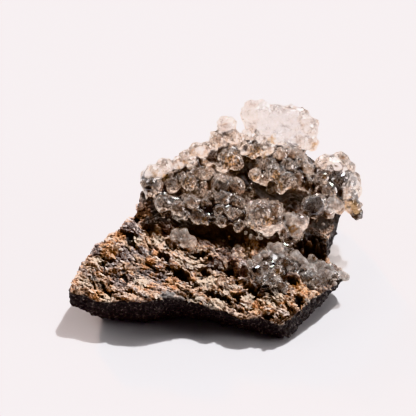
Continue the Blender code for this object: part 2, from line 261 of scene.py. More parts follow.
rock = {
    "voxel": 0.25,                       # mm
    "triangles": 196000,
    "flowDirection": math.radians(-37),  # course of the banding in plan
    "wander": (7, 0.75),                 # size of its turns, mm, and their strength, radians
    "plates": [                          # width across the flow, length along it, relief; all mm
        (2.8, 4.8, 0.6),
        (1.45, 2.5, 0.52),
        (0.75, 1.2, 0.3),
    ],
    "joint": 0.11,                       # width of the joints, as a share of a plate's
    "grain": (0.45, 0.1),                # size and relief of the fresh break, mm
    "rubble": (1.9, 0.38),               # and of the lumps in it
    "wallLayers": (0.9, 0.25),           # spacing and relief of the faint layers in the sides
    "restingEdge": 0.35,                 # height over which the relief comes in, mm
    "gapEdge": ((1.1, 0.75), (0.5, 0.4)),  # size of the noise in mm, its share of a gap's width
    "patchEdge": (1.3, 0.8),             # the same for the patches of shade
    "dropGround": (7, -9, 12, 7.5),      # where most drops of opal lie: x, y, half width, half depth
}

# Open gaps in the weathered top (x, y, half length, half width, depth in mm, turn from the flow)
gaps = [
    (-8.4, -16.5, 2.6, 1.5, 2, 0.2), (-12.6, -10.8, 1.7, 1.4, 1.6, 0.3), (-9.5, -7.4, 2.2, 1, 1.5, 0.3),
    (-3.9, -9.3, 3.2, 1.1, 1.6, 0.5), (-2.7, -14.3, 1.9, 0.8, 1.4, 0.2),
    (2.9, -14.2, 2.3, 1.5, 1.8, 0.1), (8.3, -20.8, 3.8, 0.75, 1.8, -0.25),
    (-0.4, -21.8, 3.8, 1.1, 1.8, 0.3), (4.8, -22.3, 1.6, 0.9, 1.6, -0.6),
    (-5.8, -18.4, 1.3, 1.1, 1.3, 0), (-7, -22, 1.5, 0.7, 1.2, 0.3), (19.1, -23.1, 1.8, 1, 1.5, -0.6),
    (12.5, -27.8, 2.2, 0.8, 1.2, 0.5), (-25.8, -16.5, 3.6, 0.5, 0.9, 0.35),
    (-25.1, -19.7, 1, 0.8, 1, 0), (-30.7, -20.8, 1.3, 0.5, 0.8, 0.4), (-26.5, -13.6, 1.2, 1, 1, 0),
    (-19.4, -11.3, 1.2, 0.3, 0.8, -0.3), (-16.6, -24.5, 0.9, 0.5, 0.8, 0.1),
    (-19.9, -22.4, 1.9, 0.35, 0.8, 0.2), (-20.8, -5.1, 1.9, 0.8, 1.1, 0.3),
    (-21.3, -8.9, 1.3, 0.6, 0.9, 0.2), (-15.4, -7.3, 1.9, 0.4, 0.9, 0), (-11.4, -14, 0.9, 0.7, 1, 0),
    (6, -26.6, 1.4, 0.5, 1, 0), (1.5, -19.7, 1.5, 0.6, 1.1, 0.3), (9.2, -12.9, 0.9, 0.8, 1, 0),
    (11.8, -21.6, 1.4, 0.4, 0.9, 0.3), (15.8, -21.5, 1.4, 0.4, 0.9, 0.3),
    (22.2, -6.9, 2.6, 2, 2.2, 0.5), (-32.1, -18.8, 1.4, 0.3, 0.7, 0.2),
    (-23.9, -22.5, 1, 0.3, 0.7, 0.2), (-13.3, -15.1, 1.5, 0.35, 0.8, -0.1),
    (17.7, -17.6, 1.8, 0.8, 1.4, 0.2), (-0.9, -13.3, 0.9, 0.6, 1, 0), (5, -17.9, 1, 0.6, 1, -0.2),
    (-28.6, -15.4, 1, 0.4, 0.8, 0.2), (2.7, -23.9, 1.6, 0.45, 0.9, 0.1),
]

# Larger patches of one shade on the weathered top (x, y, radius in mm)
mauvePatches = [
    (-17.8, -9.1, 2.2), (-13.3, -17.5, 1.8), (-21.1, -10.9, 2), (-24.4, -12.6, 2), (-23.2, -18.6, 1.8),
    (-16.4, -15.7, 1.5), (-0.4, -11.9, 2.2), (-13.8, -14, 1.3), (-19.9, -3.5, 2.6), (2.7, -7.2, 3.2),
    (5.5, -13.5, 3.2), (9.7, -15.2, 3), (10.7, -20, 2.8), (-2.7, -4.6, 2.6), (-12.1, -3.6, 1.5),
    (-28.6, -9.6, 2),
]
rustPatches = [
    (-26.2, -9, 1.6), (-27.4, -23.4, 2), (-25.1, -10.8, 1.4), (-10.5, -19.6, 1.8), (9.7, -25.4, 1.8),
    (-4.8, -11.1, 1), (3.4, -21.1, 1.2), (-13.8, -10.2, 1.3), (-22.7, -5.8, 1.5), (19.6, -19.1, 2.2),
    (20.8, -20.9, 1.5), (-16.8, -21.3, 1.4), (14.9, -23.7, 1.2), (-15.7, -12.4, 1.2),
]
palePatches = [
    (-2.3, -17.2, 2.4), (-5.1, -11.8, 1.8), (-8.8, -12.1, 1.3), (-17.5, -18.8, 1.6), (2.7, -20.8, 1.2),
    (7.1, -22.8, 1.2), (13.7, -23.1, 2), (0.3, -24.3, 2.2), (-5.3, -23.2, 1.5), (-27.9, -13.2, 1.6),
    (-31.4, -19.7, 1.2), (-26, -24.1, 1.5), (-13.8, -5.2, 1.8), (-19.2, -6.5, 1.5),
]

# Painted shade: ground darkened between the lumps of opal and under their edge (x, y, radius in mm)
valleys = [
    (7.1, 16.1, 1.9), (6.2, 12.8, 1.8), (7.8, 9.6, 2.1), (10.7, 9.5, 1.9), (13, 8.1, 1.9),
    (15.6, 7.3, 1.9), (17.9, 7.1, 1.5), (17.2, 4.3, 1.7), (19.6, 5.8, 1.5), (24.3, -0.1, 1.9),
    (23.1, -4.3, 1.7), (24.8, -5.7, 1.5), (-13.3, 0.2, 2.2), (-7.4, -2.3, 2.2), (-15.7, -1.5, 1.8),
    (13.8, 5.6, 1.6),
]
freshBreak = (-10.8, -24.2, 4.4, 1.9)    # broken ground that runs up over the rim


def alongFlow(x, y, turn=0.0):
    c, s = math.cos(rock["flowDirection"] + turn), math.sin(rock["flowDirection"] + turn)
    return c * x + s * y, -s * x + c * y


def shade(centre, k):
    value = math.sin(centre.x * 91.7 + centre.y * 47.3 + centre.z * 13.1 + k * 7.9) * 437.5
    return value - math.floor(value)


def plateRelief(point, width, length, relief, offset):
    # overlapping plates: each rises to its front edge and stands open at its joints
    size, turn = rock["wander"]
    turn *= noise.noise(Vector((point.x, point.y, 40)) / size)
    along, across = alongFlow(point.x, point.y, turn)
    bend = 0.9 * width * noise.noise(Vector((along / 9, across / 6, offset)))
    spot = Vector((along / length, (across + bend) / width, point.z / width / 2 + offset))
    (near, second, *_), (centre, *_) = noise.voronoi(spot)
    away = spot - centre
    rise = -(0.2 + 1.1 * shade(centre, 1)) * away.y + 0.5 * (shade(centre, 2) - 0.5) * away.x
    joint = min((second - near) / rock["joint"], 1.0)
    return relief * (0.8 * (shade(centre, 0) - 0.5) + rise - 0.8 * (1 - joint) ** 2), shade(centre, 3)


def inPatches(patches, point):
    size, height = rock["patchEdge"]
    most = 0.0
    for x, y, radius in patches:
        away = math.hypot(point.x - x, point.y - y) / radius
        if away < 1.6:
            away += height * noise.noise(Vector((point.x, point.y, x)) / size)
            most = max(most, min(max((1.15 - away) / 0.4, 0), 1))
    return most


# depth of each gap, and gapShade: how far the point is painted dark inside it as shade
def gapDepth(point):
    depth, gapShade = 0.0, 0.0
    for x, y, halfLength, halfWidth, most, turn in gaps:
        if abs(point.x - x) < 5 and abs(point.y - y) < 5:
            along, across = alongFlow(point.x - x, point.y - y, turn)
            ragged = sum(height * noise.noise(point / size) for size, height in rock["gapEdge"])
            away = math.hypot(along / halfLength, across / halfWidth) + ragged
            depth = max(depth, most * min(max((1.1 - away) / 0.5, 0), 1))
            gapShade = max(gapShade, min(max((1.15 - away) / 0.3, 0), 1))
    return depth, gapShade


def smoothed(mesh, values, times):
    # averages the values over neighbouring vertices
    ends = np.empty(len(mesh.edges) * 2, np.int64)
    mesh.edges.foreach_get("vertices", ends)
    a, b = ends[0::2], ends[1::2]
    count = np.bincount(ends, minlength=len(values)) + 1.0
    for _ in range(times):
        total = values + np.bincount(a, values[b], len(values)) + np.bincount(b, values[a], len(values))
        values = total / count
    return values


def meshTree(mesh):
    return BVHTree.FromPolygons([tuple(p) for p in places(mesh)], [tuple(f.vertices) for f in mesh.polygons])


def brokenSides(mesh, co, nor):
    # faces that look out over the ground rather than over the rock are the broken sides
    tree = meshTree(mesh)
    side = np.zeros(len(co))
    for i, (p, n) in enumerate(zip(co, nor)):
        if abs(n[2]) < 0.75:
            look = Vector((n[0], n[1], -0.3)).normalized()
            start = Vector(p) + Vector(n) * 0.4 * mm
            if tree.ray_cast(start, look, farOff)[0] is None:
                side[i] = 1
    up = smoothStep((nor[:, 2] - 0.25) / 0.4)
    down = smoothStep((-nor[:, 2] - 0.1) / 0.4)
    wall = smoothed(mesh, np.maximum(side * (1 - up), down), 10)
    x, y, halfLength, halfWidth = freshBreak
    for i, p in enumerate(co):
        point = Vector(p) / mm
        if abs(point.x - x) < 5 and abs(point.y - y) < 4 and point.z > 4:
            away = math.hypot((point.x - x) / halfLength, (point.y - y) / halfWidth)
            wall[i] = max(wall[i], 1.2 - away + 0.9 * noise.noise(point / 1.1))
    return smoothStep((wall - 0.35) / 0.3)


def makeRock():
    obj = mergedCopy("matrix", "flow_banded_rock")
    remesh(obj, rock["voxel"] * mm)
    relax(obj, 0.5, 10)
    mesh = obj.data
    co, nor = places(mesh), normals(mesh)
    wall = brokenSides(mesh, co, nor)
    level = smoothStep(co[:, 2] / (rock["restingEdge"] * mm))      # the resting face stays flat
    above = meshTree(frame["nodes"]["hyalite_crust"].data)

    count = len(co)
    offset, drop, shadedPits, tone, coveredAndShaded = (np.zeros(count) for _ in range(5))
    mauve, rust, pale, drops = (np.zeros(count) for _ in range(4))
    grainSize, grainRelief = rock["grain"]
    rubbleSize, rubbleRelief = rock["rubble"]
    layerSpacing, layerRelief = rock["wallLayers"]
    for i, p in enumerate(co):
        point = Vector(p) / mm
        plates, shades = 0, []
        if wall[i] < 0.98:
            for k, (width, length, relief) in enumerate(rock["plates"]):
                raised, plateShade = plateRelief(point, width, length, relief, 5.3 * k)
                plates += raised
                shades.append(plateShade)
            drop[i], gapShade = gapDepth(point)
            tone[i] = 0.2 * shades[0] + 0.4 * shades[1] + 0.4 * shades[2]
            valleyShade = max(1.9 - 1.2 * math.hypot(point.x - x, point.y - y) / r for x, y, r in valleys)
            # painted shade: the low joints between the plates, the gaps and the valleys are marked to be
            # darkened
            shadedPits[i] = max(smoothStep((-plates - 0.14) / 0.4), gapShade, min(valleyShade, 0.92))
            mauve[i] = inPatches(mauvePatches, point)
            rust[i] = inPatches(rustPatches, point)
            pale[i] = inPatches(palePatches, point)
        grain = grainRelief * noise.noise(point / grainSize)
        rubble = 0
        if wall[i] > 0.02:
            cell = noise.voronoi(point / rubbleSize)[0]
            layers = noise.noise(Vector((point.x / 4, point.y / 4, point.z / layerSpacing)))
            rubble = rubbleRelief * (min((cell[1] - cell[0]) / 0.3, 1) - 0.8 + noise.noise(point / 0.9))
            rubble += layerRelief * layers
        # painted shade: rock under the crust, and after smoothing a little way past its edge, is marked to
        # be darkened
        if above.ray_cast(Vector(p), Vector((0, 0, 1)), farOff)[0] is not None:
            coveredAndShaded[i] = 1
        offset[i] = (1 - wall[i]) * plates * (1 - 0.5 * coveredAndShaded[i]) + wall[i] * rubble + grain
    near = smoothed(mesh, coveredAndShaded, 60)
    coveredAndShaded = np.clip(1.5 * near - 0.1, 0, 1)
    co = co + nor * (offset * level * mm)[:, None]
    co[:, 2] -= drop * (1 - wall) * level * mm
    setPlaces(mesh, co)
    keepInBox(mesh)
    co = places(mesh)

    top = (1 - wall) * smoothStep((nor[:, 2] - 0.15) / 0.45) * level
    x, y, halfWidth, halfDepth = rock["dropGround"]
    for i, p in enumerate(co):
        if top[i] > 0.3:
            point = Vector(p) / mm
            middle = max(1.2 - math.hypot((point.x - x) / halfWidth, (point.y - y) / halfDepth), 0)
            edge = 1.5 * near[i] * (1 - coveredAndShaded[i])
            drops[i] = min(middle, 1) + edge + 0.9 * noise.noise(point / 2.2) - 0.3
    for name, values in {
        "lay": nor,                      # the flakes lie along the ground's broad form
        "wall": wall, "tone": tone, "coveredAndShaded": coveredAndShaded, "rust": rust, "pale": pale,
        "flaky": top * (1 - shadedPits) * (1 - 0.6 * coveredAndShaded), "pitShade": shadedPits * (1 - wall),
        # broken faces that look upward: partly dusty, partly painted light
        "dustAndPaintedLight": wall * smoothStep((nor[:, 2] - 0.1) / 0.5),
        "mauve": np.maximum(mauve, smoothStep(near * 2)),
        "druse": top * np.clip(drops, 0, 1) * (1 - shadedPits),
    }.items():
        setAttribute(mesh, name, values)
    simplify(obj, rock["triangles"])
    keepInBox(obj.data)
    return obj


matrixRock = makeRock()
print("rock made", len(matrixRock.data.polygons), "faces")


# ---- loose chips that lie on the weathered top, along the flow

flakes = {
    "spacing": 0.55,                     # mm
    "density": 8.0e6,                    # most flakes to the square metre
    "length": (0.7, 2.0),                # least and greatest length, mm
    "width": 0.5,                        # share of the length
    "thickness": 0.17,
    "kinds": 6,
    "points": 13,                        # scattered for each kind
    "tilt": 0.28,                        # greatest tilt out of the surface, radians
    "turn": 0.9,                         # and greatest turn away from the flow
}


def makeFlakeKinds(rng):
    # angular chips one unit long, the hull of a few scattered points
    kinds = bpy.data.collections.new("flake kinds")
    bpy.context.scene.collection.children.link(kinds)
    for _ in range(flakes["kinds"]):
        bm = bmesh.new()
        for _ in range(flakes["points"]):
            x = rng.uniform(-0.5, 0.5)
            room = 1 - 1.1 * abs(x)
            bm.verts.new((x, rng.uniform(-0.5, 0.5) * flakes["width"] * room,
                          rng.uniform(-0.5, 0.5) * flakes["thickness"] * (0.5 + 0.5 * room)))
        bmesh.ops.convex_hull(bm, input=bm.verts)
        bmesh.ops.delete(bm, geom=[v for v in bm.verts if not v.link_faces], context="VERTS")
        mesh = bpy.data.meshes.new("flake")
        bm.to_mesh(mesh)
        bm.free()
        kinds.objects.link(bpy.data.objects.new("flake", mesh))
    return kinds


def flakeTree():
    tree, given, keys = makeTree("weathered flakes", {
        "Kinds": "Collection", "Spacing": "Float", "Least length": "Float", "Greatest length": "Float",
        "Tilt": "Float", "Turn": "Float", "Flow": "Vector", "Seed": "Int", "Material": "Material",
    })
    give = given.outputs
    spread = scatter(tree, give, "flaky", flakes["density"])
    lay = addNode(tree, "GeometryNodeInputNamedAttribute", {"data_type": "FLOAT_VECTOR"}, {"Name": "lay"})
    upright = addNode(tree, "FunctionNodeAlignRotationToVector", {"axis": "Z"}, {
        "Vector": lay.outputs["Attribute"]})
    laid = addNode(tree, "FunctionNodeAlignRotationToVector", {"axis": "X", "pivot_axis": "Z"}, {
        "Rotation": upright.outputs[0], "Vector": give["Flow"]})
    most = addNode(tree, "ShaderNodeCombineXYZ", inputs={
        "X": give["Tilt"], "Y": give["Tilt"], "Z": give["Turn"]})
    least = addNode(tree, "ShaderNodeVectorMath", {"operation": "SCALE"}, {
        0: most.outputs[0], "Scale": -1.0})
    stray = addNode(tree, "FunctionNodeRandomValue", {"data_type": "FLOAT_VECTOR"}, {
        0: least.outputs[0], 1: most.outputs[0], "Seed": give["Seed"]})
    strayTurn = addNode(tree, "FunctionNodeEulerToRotation", inputs={0: stray.outputs[0]})
    turned = addNode(tree, "FunctionNodeRotateRotation", {"rotation_space": "LOCAL"}, {
        0: laid.outputs[0], 1: strayTurn.outputs[0]})
    length = randomBetween(tree, give, give["Least length"], give["Greatest length"])
    shapes = addNode(tree, "GeometryNodeCollectionInfo", inputs={
        "Collection": give["Kinds"], "Separate Children": True, "Reset Children": True})
    which = addNode(tree, "FunctionNodeRandomValue", {"data_type": "INT"}, {
        4: 0, 5: flakes["kinds"] - 1, "Seed": give["Seed"]})
    copies = addNode(tree, "GeometryNodeInstanceOnPoints", inputs={
        "Points": spread.outputs["Points"], "Instance": shapes.outputs[0], "Pick Instance": True,
        "Instance Index": which.outputs[2], "Rotation": turned.outputs[0], "Scale": length})
    named = addNode(tree, "GeometryNodeStoreNamedAttribute", {"data_type": "FLOAT", "domain": "INSTANCE"}, {
        "Geometry": copies.outputs[0], "Name": "tone", "Value": randomBetween(tree, give, 0.0, 1.0)})
    real = addNode(tree, "GeometryNodeRealizeInstances", inputs={"Geometry": named.outputs[0]})
    finishTree(tree, give, real)
    return tree, keys


def makeFlakes(rockObject, mat):
    kinds = makeFlakeKinds(random.Random(seed))
    obj = newObject("weathered_flakes", rockObject.data.copy())
    tree, keys = flakeTree()
    flow = rock["flowDirection"]
    runTree(obj, tree, keys, {
        "Kinds": kinds, "Spacing": flakes["spacing"] * mm, "Least length": flakes["length"][0] * mm,
        "Greatest length": flakes["length"][1] * mm, "Tilt": flakes["tilt"], "Turn": flakes["turn"],
        "Flow": (math.cos(flow), math.sin(flow), 0), "Seed": seed, "Material": mat})
    for flake in list(kinds.objects):
        bpy.data.objects.remove(flake)
    bpy.data.collections.remove(kinds)
    keepInBox(obj.data)
    return obj


# ---- hyalite: clear opal in bubble-like lumps

opal = {
    "coreVoxel": 0.32,                  # mm
    "coreShrink": 0.8,
    "voxel": 0.235,
    "lumps": (1.9, 1.0, 1.9, 0.75),     # spacing, least and greatest radius, share of it below the face
    "beads": (1.1, 0.35, 0.8, 0.5),
    "waves": ((2.2, 0.25), (0.9, 0.1)),  # length and height of the unevenness of the bubbles, mm
    "root": 1.5,                        # reach over which the underside is drawn into the rock
    "bite": 0.25,                       # how far it goes in
    "density": 6.0e6,                   # most lumps or beads to the square metre
    "beadShare": (0.05, 0.6, 0.25),     # on the clear opal, in the patches of beads, elsewhere
    "hidden": (1.6, 1.4),               # nearer the rock than this, no lumps or beads; mm
    "room": 2.5,                        # free of scattered lumps round each listed one, mm
    "patches": 3.5,                     # size of the patches of beads, mm
    "groundEdge": (2, 0.3),             # of the clear, milky and frosted ground, as below
    "creases": [                        # rounds of smoothing, least bend, range of the bend, mm
        (2, 0.02, 0.06), (40, 0.05, 0.2),
    ],
    "stainEdge": (0.6, 1.1, -0.15),     # size of the noise in mm, its share of the radius, shift
    "hollowShadeEdge": (1.1, 0.5, 0.0),
    "triangles": 196000,
    "clusterTriangles": 16000,
}

# Drops of opal scattered over the rock in front of the crust
druse = {
    "drops": (0.55, 0.22, 0.62, 0.3),   # spacing, least and greatest radius, sink, as above
    "density": 1.0e7,                   # most drops to the square metre
    "waves": (0.35, 0.07),              # length and height of their unevenness, mm
}

# The lumps that stand out from the rest (x, y, z, radius), mm
largeBubbles = [
    (-15, 6.1, 16.8, 2.6), (-15, 8.1, 18.9, 2.3), (-16.6, 6.1, 17.5, 1.4), (-12.4, 10.3, 19.4, 1.9),
    (-9.8, 10.4, 19.4, 1.4), (-10.7, 9, 18, 1.2), (-7.2, 12.3, 20.8, 1.6), (-4.8, 13.5, 21.6, 1.9),
    (-2.7, 13.9, 22.1, 1.4), (-6, 10.7, 20, 1.4), (-3, 12, 18.8, 1.3), (-6.5, 6.4, 17.9, 1.8),
    (-10.5, 6.6, 16.5, 1.9), (-8.4, 7.2, 15.5, 1.2), (-3.2, 6.5, 16.5, 1.4), (-2, 8.3, 18.7, 1.6),
    (-4.6, 8.7, 18.6, 1.4), (2.4, 18.6, 24.9, 2.3), (3.4, 16.5, 22.7, 2.3), (0.1, 15.6, 22.5, 1.9),
    (2.7, 13.2, 19.6, 2.6), (4.5, 12.5, 18.4, 1.9), (1.5, 11.3, 18.5, 1.6), (-0.6, 16.7, 23.8, 0.9),
    (1.3, 6.5, 17.1, 2.8), (4.5, 5.9, 16.8, 2.3), (1.3, 2.2, 16, 2.1), (-1.1, 3, 16.5, 1.6),
    (5, 1.7, 14.8, 2.1), (-2.7, 1, 15.8, 1.4), (3.6, -2.1, 15.4, 1.6), (0.6, -1.4, 15.8, 1.4),
    (1.3, -3.7, 14.3, 1.4), (-12.6, 1, 15.8, 2.1), (-9.1, -0.1, 15.5, 1.9), (-5.8, 1, 16.4, 1.9),
    (-4.4, -1.2, 14, 1.9), (-7.7, -1.7, 14.8, 1.2), (-2.5, -2.3, 14, 1.2), (5, -4.4, 13.7, 1.4),
    (10.7, -2.6, 15.2, 4), (13.2, -2.2, 16.1, 2.8), (8.8, -2, 16.9, 2.1), (12.1, -4.5, 13.4, 2.1),
    (14.2, -5.1, 14.9, 1.6), (15.6, -5.4, 13, 1.4), (17.7, -3, 13.7, 2.3), (19.8, -3.5, 14.1, 2.1),
    (18.6, -5, 12, 1.9), (16.5, -5.5, 11.5, 1.4), (22.6, 1.5, 14.4, 2.8), (23.8, 1.8, 15.3, 2.1),
    (27.3, 3, 14, 1.9), (26.2, 0.6, 13.2, 1.4), (28.5, 2.5, 13.4, 1.6), (25.9, 12.3, 17.3, 3.1),
    (27.8, 10.9, 15.7, 3.3), (30.2, 9, 14.9, 2.8), (24.8, 8.7, 16.4, 2.1), (26.6, 6.6, 14.9, 2.1),
    (31.8, 10.7, 14, 2.3), (32.7, 8, 13.6, 1.6), (29, 13.3, 18, 2.3), (30.9, 6.6, 13.3, 1.9),
    (32, 4.8, 11.7, 2.1), (33.2, 3.5, 10.6, 1.4), (31.3, 12.1, 17.2, 1.6), (9, 9.1, 17.7, 1.6),
    (10.9, 8.5, 16.6, 1.4), (13.5, 9.7, 17.8, 2.1), (16.5, 7.7, 17, 2.1), (15.1, 6.7, 15.7, 1.4),
    (18.6, 9.5, 16.9, 1.6), (19.8, 8.3, 16.2, 0.9), (12.5, 12.4, 17.8, 1.9), (16.8, 11.1, 18.4, 1.9),
    (14.9, 14.6, 18.7, 2.1), (12.5, 15.9, 19.2, 1.9), (17.7, 14.6, 18.1, 1.9), (19.8, 12.7, 17.6, 1.9),
    (9.7, 16.5, 19.2, 1.6), (8.5, 15.5, 18.5, 1.2), (10.7, 18.2, 20.2, 1.6), (13.9, 18.2, 20.3, 1.9),
    (21.7, 11, 17.5, 1.6), (7.1, 18.8, 21.9, 1.4), (8.5, 25.7, 22.3, 2.8), (10.9, 24.6, 20.5, 2.8),
    (13.7, 24.8, 20.9, 3.1), (17.2, 25.1, 20.7, 3.3), (20.3, 23.8, 20.5, 2.8), (21.9, 21.7, 19.9, 2.1),
    (22.2, 19.5, 18.4, 1.9), (19.6, 20.8, 18.2, 2.3), (16.1, 21.9, 19.1, 2.6), (12.1, 22.3, 19.4, 2.3),
    (8.3, 24.1, 20, 1.9), (8.1, 26.1, 24.2, 1.6), (6.3, 16, 19.8, 1.7), (5.6, 15.6, 21.2, 1.3),
    (-15.8, 8.6, 17.2, 2.3), (-13.8, 9.4, 17.9, 2.2), (-11.2, 10.6, 18.4, 1.9), (-8.5, 11.3, 19.4, 1.8),
    (-6, 12.8, 20, 1.9), (-3.5, 13.9, 20.8, 1.9), (-1.3, 14.6, 20.6, 2), (1.2, 16.6, 21.8, 2.2),
    (27, 12.2, 16.2, 4), (28.8, 9.4, 14.6, 3.8), (30.6, 6.6, 12.8, 2.8), (14.4, -9.1, 10.6, 1.6),
    (13, -8.6, 10.8, 1.1), (11.4, -10.4, 10.2, 1.4), (9.5, -11.7, 9.5, 1.4), (7.8, -13.4, 9.7, 1.2),
    (18.6, -10.9, 10, 1.4), (17.2, -9.2, 10.1, 1.2), (20.1, -12.1, 9.2, 1.2), (24.3, -10.9, 7.2, 1.4),
    (22.6, -9.9, 8.5, 1.1), (16.1, -13.8, 9.5, 1.4), (17.9, -14.4, 9.4, 1.4), (20.8, -14.1, 8.5, 1.3),
    (20.8, -16.1, 8, 1.1), (16.1, -13.2, 10.5, 1.1), (14.2, -15.6, 9.8, 1.1), (12.5, -17.1, 9.3, 1.3),
    (9.2, -15.2, 9.5, 1.3), (11.4, -14.8, 9.8, 1.4), (10.7, -18.5, 9, 1.4), (15.8, -19.8, 7.6, 1.4),
    (13.7, -19.1, 8.9, 1.2), (25.5, -14.4, 7.2, 1.5), (27.6, -14.2, 6.7, 1.3), (29.2, -13.4, 6.6, 1.1),
    (30.2, -13.6, 5.9, 1.1), (23.3, -16.8, 7.4, 1.4), (22.2, -13.1, 8.2, 1.2), (26.6, -11.4, 6.7, 1.1),
    (10.6, 25.2, 22.6, 2.2), (13.9, 23.4, 20, 2.4), (18.2, 23, 19.6, 2.6),
]
clusterBubbles = [
    (-9.8, -4.5, 10.9, 1.3), (-7.7, -4.3, 11.1, 1.3), (-7.7, -5.9, 10, 1.3), (-5.8, -5.7, 10.4, 1.2),
    (-5.6, -6.7, 9.4, 1.1),
]

# Where the opal is quite clear (x, y, z, radius); elsewhere it is a little hazy
clearGround = [
    (-15, 6.5, 20.3, 3.3), (-12.1, 9.1, 20.5, 2.1), (-9.5, 9.5, 20.1, 1.9), (-6.3, 11.3, 21.6, 2.1),
    (-3.9, 12.4, 23.3, 1.9), (2.4, 17.1, 26.6, 3.1), (26.6, 10.2, 19.8, 3.8), (30.2, 9.2, 17.6, 4.2),
    (32.5, 7.6, 14.9, 2.8), (7.1, 17.6, 22.7, 1.6), (22.6, 0.1, 16.3, 2.8), (1.3, 4.6, 18.8, 1.9),
    (30, -13.3, 5.9, 1.6), (28.5, 7, 16.5, 2.2), (21.5, -12.6, 8.8, 1.6),
]

# Where it is clear but finely flawed, so that all behind it is blurred
frostedGround = [
    (10.7, 24.1, 24, 5.6), (16.1, 23.1, 22.4, 6.4), (20.3, 20.6, 21.5, 5.2), (14.5, 24, 18.5, 6.5),
]

# Where it is milky with fine bubbles
milkyGround = [
    (17.7, -4.6, 15.1, 2.6), (19.8, -5.2, 15, 2.3), (18.6, -6.2, 13.4, 1.9), (12.1, -6.1, 13.9, 1.9),
    (14.4, -6.6, 15.1, 1.4), (27.6, 2.1, 15.1, 1.9), (29.5, 2.5, 14.1, 1.2), (26.4, 0.1, 15, 1.2),
    (11.4, -11.4, 11.1, 1.2), (9.5, -12.6, 10.3, 1.2), (7.8, -13.7, 10.7, 0.9),
    (18.2, -11.9, 10.9, 1.4), (19.6, -12.8, 10.2, 1.2), (24.3, -11.9, 8.1, 1.4),
    (17.2, -15.6, 10.2, 1.2), (13, -9.3, 11.4, 0.9), (23.3, -14.6, 8.9, 0.9), (-7.7, -6.8, 10.8, 1.2),
    (-10, -5.1, 11.8, 0.9), (14.5, -10, 11, 3), (20, -12, 9.8, 3.6), (25, -13, 7.6, 3.2),
    (29.5, -13.4, 6.2, 2.2), (-8, -5.5, 10.8, 4.5), (12.5, -5.8, 13.6, 2.8), (28, 2.3, 14.8, 2.2),
    (24.2, -14, 8, 1.8),
]

# Where iron from the rock stains it
stainedGround = [
    (-14.5, 6.6, 20.3, 1.1), (-12.4, 7.6, 18.7, 1.1), (-5.8, 11.6, 22.1, 0.9), (-7.2, 10.1, 20.9, 0.8),
    (-8.6, 9.3, 19.7, 0.8), (-6.7, 5.9, 18.9, 1.4), (-5.3, 4.5, 18.3, 0.9), (-2.7, 11.4, 19.7, 0.9),
    (2.7, 11.3, 20.4, 1.9), (4.5, 12.2, 21.2, 1.4), (9.2, 14.9, 20, 1.6), (10.7, 14.2, 19.1, 1.2),
    (7.4, 16.1, 18, 0.9), (13.7, 7.8, 18.8, 1.2), (15.1, 6, 16.9, 1.2), (8.8, 7.3, 18, 0.9),
    (12.1, -6, 16.4, 1.4), (8.3, -5.1, 14.6, 1.2), (17.9, -5.9, 13.8, 1.2), (28.5, 7.9, 17.2, 1.2),
    (25.5, 8.2, 18.2, 0.9), (28, 4.1, 15.5, 1.2), (31.1, 3.5, 13.5, 1.2), (32.4, 3.6, 12.4, 2.2),
    (-0.4, -0.4, 16.4, 0.7), (-2.7, -3.1, 14.7, 0.9), (22.9, 18, 19.1, 0.8), (13, 17.3, 21.4, 1.2),
    (14.2, -16.3, 10.5, 0.9), (25.5, -16.5, 8.4, 0.8),
]

# Painted shade: hollows between the lumps, darkened as if full of dark rock dust
shadedHollows = [
    (-1.1, 12.9, 20.8, 1.4), (-3.9, 10.2, 20.1, 0.9), (7.1, 15, 17.1, 1.9), (6.4, 15.1, 20.8, 1.2),
    (8.3, 14.4, 16.7, 1.4), (4.1, 12.1, 16.2, 1.2), (7.8, 8.4, 14.5, 2.1), (12.5, 9.8, 14.2, 1.2),
    (21, 6.6, 16.7, 1.4), (23.1, 6.5, 16.6, 1.2), (-9.1, 2.9, 17.2, 1.4), (-6.7, 2.5, 17.6, 1.2),
    (-4.6, 3.9, 16, 1.2), (-2, -1.1, 16.1, 1.4), (-1.1, -3.9, 14.2, 1.2), (22.6, -1.9, 14.6, 1.4),
    (24.8, -1.2, 13.4, 1.4), (32, 4.4, 12.6, 2.2), (33, 3.2, 11, 2.2), (30.4, 2.3, 12.1, 0.9),
    (24.8, 4.1, 15.2, 0.9), (29.2, 5.3, 15.4, 0.9), (-16.1, 3.9, 17.6, 0.9), (-17.1, 6.7, 18.8, 0.7),
    (-10.5, 1.4, 17.6, 1.2), (-1.6, 5.5, 18.7, 0.9), (2.9, -4.3, 14.9, 0.9), (6.2, -4.6, 15.1, 0.9),
    (9, -16.2, 10.4, 0.9), (13.2, -14.4, 11, 1.2), (11.4, -21.6, 9.3, 1.2), (15.6, -11.6, 11.3, 0.7),
    (-9.3, -6.7, 10.4, 0.9),
]


